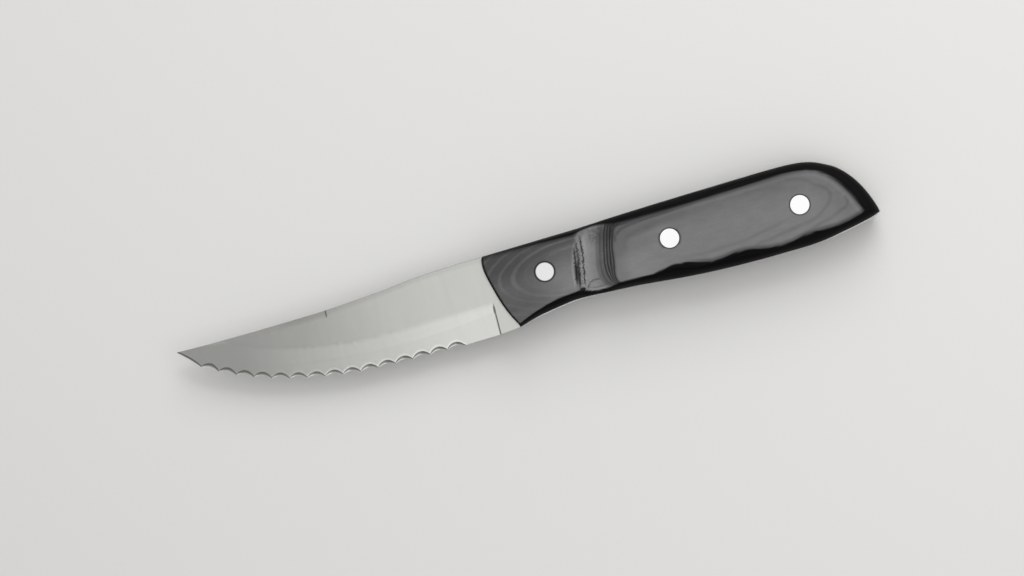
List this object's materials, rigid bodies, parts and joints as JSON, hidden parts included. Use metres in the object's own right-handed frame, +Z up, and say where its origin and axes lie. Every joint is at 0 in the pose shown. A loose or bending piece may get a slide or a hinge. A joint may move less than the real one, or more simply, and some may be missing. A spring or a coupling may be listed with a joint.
{
  "type": "steak knife",
  "caption": "Full-tang steak knife with a scalloped edge and two riveted laminate handle scales, lying on its right side.",
  "frame": {"origin": "on the surface that the knife lies on, under the middle of its overall length and depth", "axes": "+X along the handle towards the butt, +Y towards the spine, +Z up, out of the left face, on which the scallops are ground"},
  "size_m": [0.2407, 0.032, 0.0162],
  "materials": {
    "blade_steel": "satin",
    "scale_laminate": "satin",
    "rivet_steel": "polished"
  },
  "bodies": {
    "root": {"blade_tang": "blade_steel", "scale_left": "scale_laminate", "scale_right": "scale_laminate", "front_rivet_male": "rivet_steel", "front_rivet_female": "rivet_steel", "middle_rivet_male": "rivet_steel", "middle_rivet_female": "rivet_steel", "rear_rivet_male": "rivet_steel", "rear_rivet_female": "rivet_steel"}
  },
  "joints": []
}
